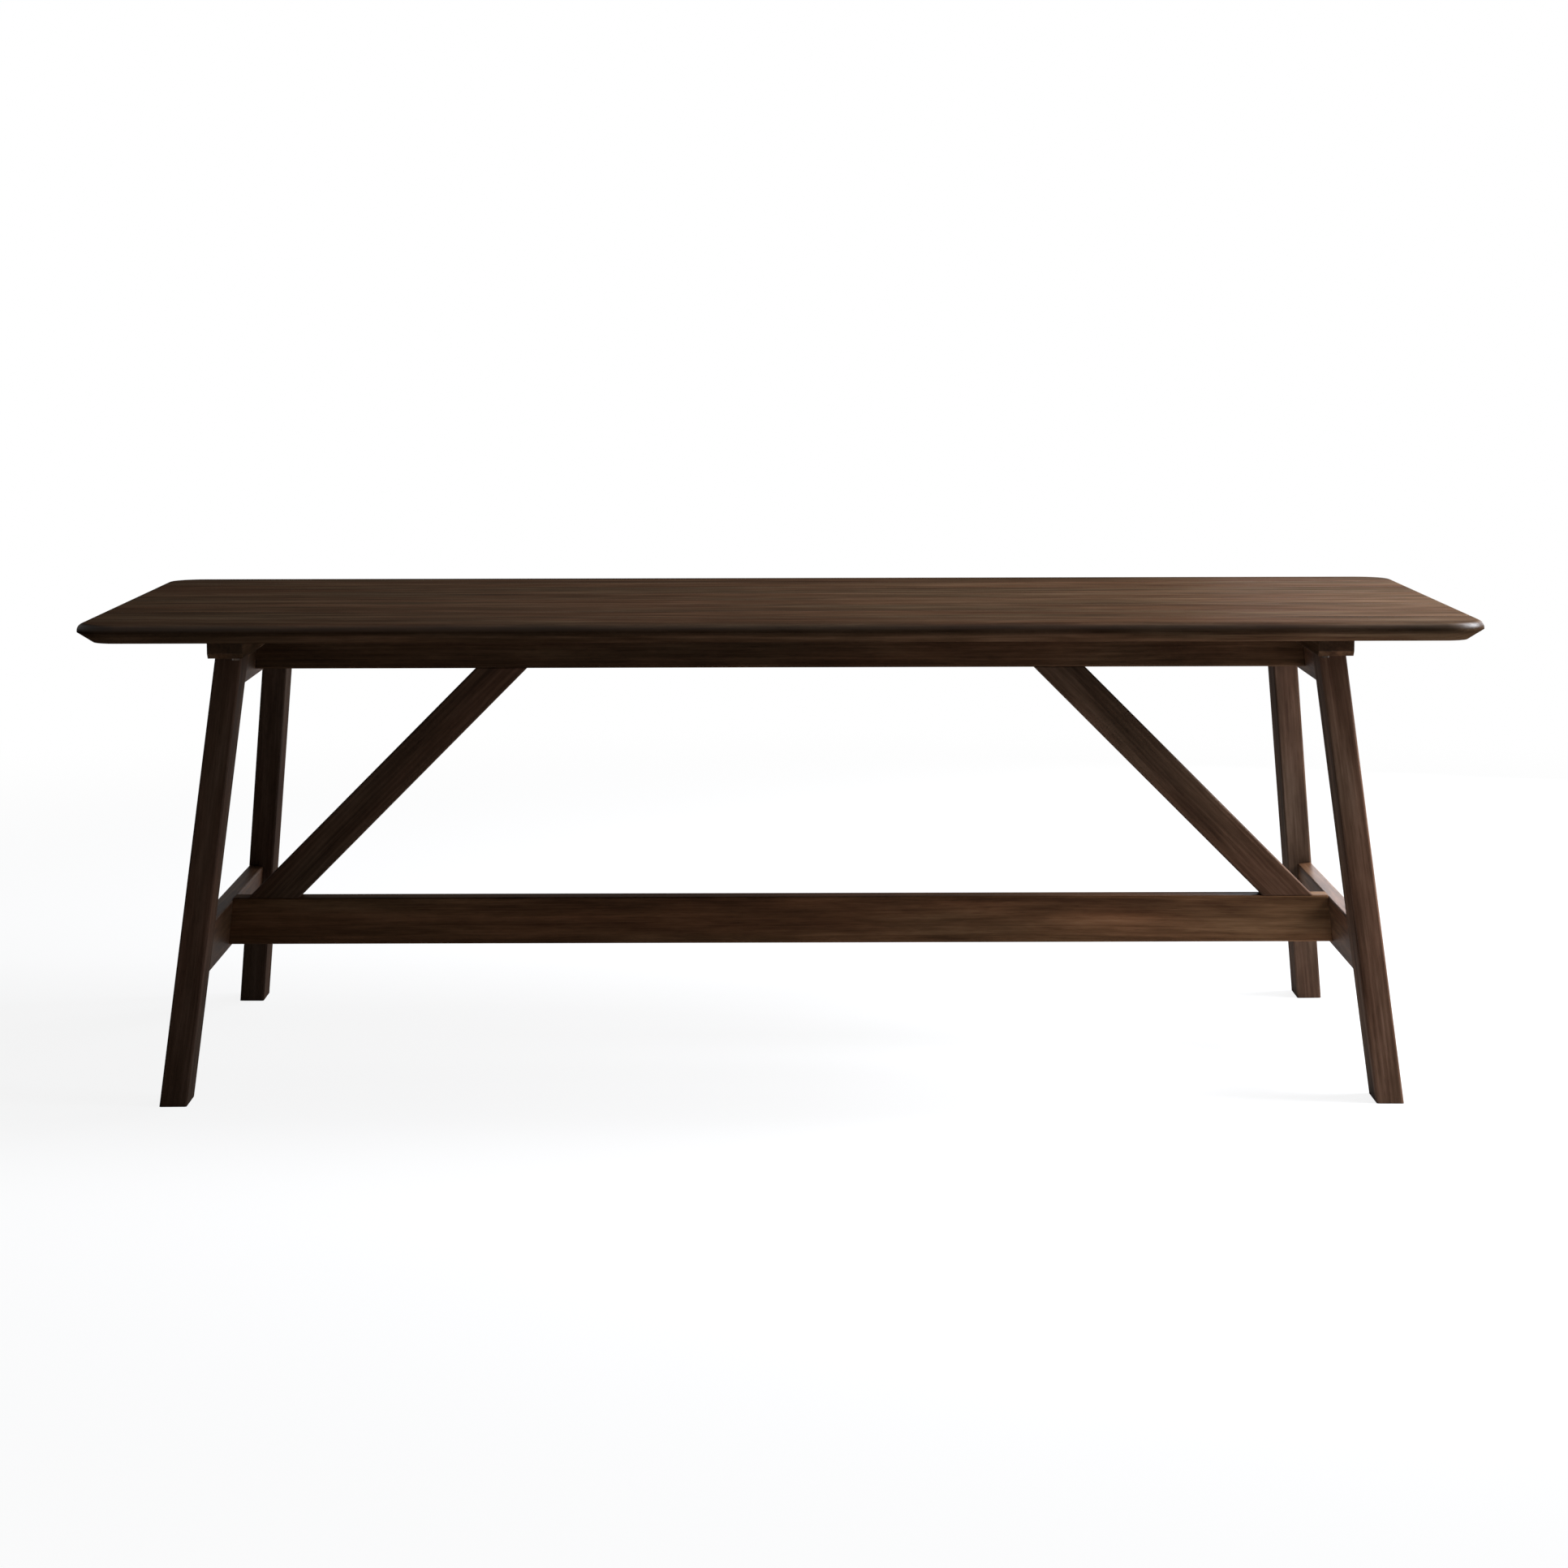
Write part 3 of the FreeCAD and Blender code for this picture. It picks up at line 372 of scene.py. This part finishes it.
# What multiplies the stain, in red, green and blue, and the tone of each leg and brace. Besides each
# timber's hue these hold painted light and shade: the beam and cleats under the top are painted darker,
# the stretcher and rails lighter, the rails greyer as a painted sheen, and each leg and brace is made
# lighter or darker for how lit it is.
TOP_DYE = (0.78, 0.92, 1.04)
BEAM_DYE_AND_SHADE = (0.80, 0.84, 0.84)
STRETCHER_DYE_AND_LIGHT = (1.36, 1.36, 1.28)
RAIL_DYE_LIGHT_AND_SHEEN = (1.18, 1.20, 1.27)
BRACE_DYE = (1.00, 1.12, 1.35)
LEG_DYE = (1.00, 1.16, 1.50)
LIGHT_AND_SHADE_TONES = {
    "leg_front_left": 0.90,
    "leg_rear_left": 0.82,
    "leg_front_right": 1.10,
    "leg_rear_right": 0.82,
    "brace_left": 1.00,
    "brace_right": 0.84,
}

# Heart across and in depth, shift and tone of each board of the top, front to rear.
BOARDS = (
    (-0.49, 0.62, 0.3, 0.98),
    (-0.22, 0.90, 7.1, 1.07),
    (-0.20, 0.58, 13.7, 1.01),
    (-0.02, 0.86, 21.9, 1.12),
    (0.10, 0.60, 29.2, 1.04),
    (0.16, 0.92, 37.8, 1.00),
    (0.36, 0.60, 43.1, 1.09),
    (0.40, 0.88, 51.6, 0.86),
)

for number, (across, deep, shift, tone) in enumerate(BOARDS, start=1):
    name = f"top_board_{number}"
    dress(name, wood(name, ALONG_X, ALONG_Y, (across, deep), shift, times(TOP_DYE, tone), TOP_LACQUER,
                     on_top=True))
# The beam and cleats carry painted shade in their dye, and the stretcher and rails painted light.
dress("beam", wood("beam", ALONG_X, ALONG_Z, (0.55, 0.08), 63.3, BEAM_DYE_AND_SHADE))
dress("stretcher", wood("stretcher", ALONG_X, ALONG_Z, (0.22, 0.10), 71.4, STRETCHER_DYE_AND_LIGHT))
for side_name, side in SIDES.items():
    name = f"cleat_{side_name}"
    dress(name, wood(name, ALONG_Y, ALONG_Z, (0.60, 0.80), 80.0 + side, BEAM_DYE_AND_SHADE))
    for level, heart in (("upper", 0.58), ("lower", 0.12)):
        name = f"{level}_rail_{side_name}"
        dress(name, wood(name, ALONG_Y, ALONG_Z, (heart, 0.85), 90.0 + side * heart, RAIL_DYE_LIGHT_AND_SHEEN, RAIL_LACQUER))
    # Each brace and leg takes its own tone of painted light and shade.
    name = f"brace_{side_name}"
    dress(name, wood(name, (-side, 0, 1), (side, 0, 1), (0.10 * side, 0.07), 97.0 + side,
                     times(BRACE_DYE, LIGHT_AND_SHADE_TONES[name])))
    for end_name, end in ENDS.items():
        run = (-side * math.sin(LEAN), -end * math.tan(SPLAY), math.cos(LEAN))
        name = f"leg_{end_name}_{side_name}"
        dress(name, wood(name, run, ALONG_Y, (0.06 * end, 0.94), 104.0 + 3 * side + end,
                         times(LEG_DYE, LIGHT_AND_SHADE_TONES[name])))
dress("frame_bolts", metal("bronzed_steel", (0.085, 0.064, 0.048), 0.34, 0.7))
dress("barrel_nuts", metal("zinc_steel", (0.50, 0.50, 0.48), 0.30, 0.8))
dress("top_screws", metal("bronzed_screws", (0.070, 0.052, 0.040), 0.42, 0.7))


# A pale floor that is seen as white, wholly so from the second distance on. Nearer than the first a
# share of its lit colour stays, which keeps the table's shadow.
FLOOR_REACH = 60.0
FLOOR_CELLS = (0.5, 0.5, 0.5)
FLOOR_COLOURS = ((0.3, (0.80, 0.80, 0.80)), (0.7, (0.84, 0.84, 0.84)))
SHADOW_DISTANCES = (1.5, 5.0)
GLOW_NEARBY = 0.88


def floor_shader(tree):
    pale = tree.ramp(tree.noise(tree.place(), FLOOR_CELLS), FLOOR_COLOURS)
    matte = tree.add("ShaderNodeBsdfDiffuse", "BSDF", Color=pale)
    glow = tree.add("ShaderNodeEmission", "Emission", Color=WHITE, Strength=1.0)
    distance = tree.vector("LENGTH", tree.place())
    share = tree.range(distance, *SHADOW_DISTANCES, GLOW_NEARBY, 1.0, "SMOOTHSTEP")
    return tree.blend(tree.math("MULTIPLY", tree.shown(), share), matte, glow)


mesh = bpy.data.meshes.new("floor")
corners = [(x * FLOOR_REACH, y * FLOOR_REACH, 0) for x, y in ((-1, -1), (1, -1), (1, 1), (-1, 1))]
mesh.from_pydata(corners, [], [(0, 1, 2, 3)])
mesh.materials.append(new_material("floor", floor_shader))
floor = bpy.data.objects.new("floor", mesh)
bpy.context.scene.collection.objects.link(floor)

# The world is a white backdrop to look at, and gives only a little light.
AIR_STRENGTH = 0.05
world = bpy.data.worlds.new("studio")
bpy.context.scene.world = world
sky = Tree(world)
air = sky.add("ShaderNodeBackground", "Background", Color=WHITE, Strength=AIR_STRENGTH)
backdrop = sky.add("ShaderNodeBackground", "Background", Color=WHITE, Strength=1.0)
sky.finish("ShaderNodeOutputWorld", sky.blend(sky.shown(), air, backdrop))

# Soft daylight as from windows at the right: name, place, target, width, height and power in watts.
DAYLIGHT = (0.96, 1.0, 1.08)
LAMPS = (
    ("window_high", (2.4, 0.3, 2.3), (0.4, 0.0, 0.7), 1.2, 1.2, 173.0),
    ("window_near", (2.3, -0.2, 1.5), (0.6, 0.0, 0.7), 0.8, 0.8, 128.0),
    ("window_front", (2.5, -0.9, 1.3), (0.2, 0.0, 0.5), 1.0, 1.2, 42.0),
    ("window_low", (2.2, 3.4, 1.0), (0.9, 0.0, 0.6), 2.2, 1.5, 150.0),
    ("softbox", (0.5, 2.4, 2.2), (0.0, 0.0, 0.5), 3.0, 1.2, 20.0),
)
for name, place, target, width, height, power in LAMPS:
    light = bpy.data.lights.new(name, "AREA")
    light.shape = "RECTANGLE"
    light.size = width
    light.size_y = height
    light.energy = power
    light.color = DAYLIGHT
    lamp = bpy.data.objects.new(name, light)
    lamp.location = place
    lamp.rotation_euler = (Vector(target) - Vector(place)).to_track_quat("-Z", "Y").to_euler()
    lamp.visible_camera = False
    bpy.context.scene.collection.objects.link(lamp)

# The camera stands in front of the table, a little above it and looking slightly down. Its turns are in
# radians, and its sensor and lens in millimetres.
CAMERA_PLACE = (-0.0107, -6.3594, 1.2408)
CAMERA_TURN = -0.00256
CAMERA_DIP = 0.12514
CAMERA_ROLL = -0.00219
SENSOR_WIDTH = 36.0
LENS = 88.21
CAMERA_RANGE = 200.0
camera = bpy.data.objects.new("camera", bpy.data.cameras.new("camera"))
camera.data.sensor_width = SENSOR_WIDTH
camera.data.lens = LENS
camera.data.clip_end = CAMERA_RANGE
camera.matrix_world = (
    Matrix.Translation(CAMERA_PLACE)
    @ Matrix.Rotation(CAMERA_TURN, 4, "Z")
    @ Matrix.Rotation(math.pi / 2 - CAMERA_DIP, 4, "X")
    @ Matrix.Rotation(CAMERA_ROLL, 4, "Z")
)
bpy.context.scene.collection.objects.link(camera)
bpy.context.scene.camera = camera
bpy.context.scene.view_settings.view_transform = "Standard"
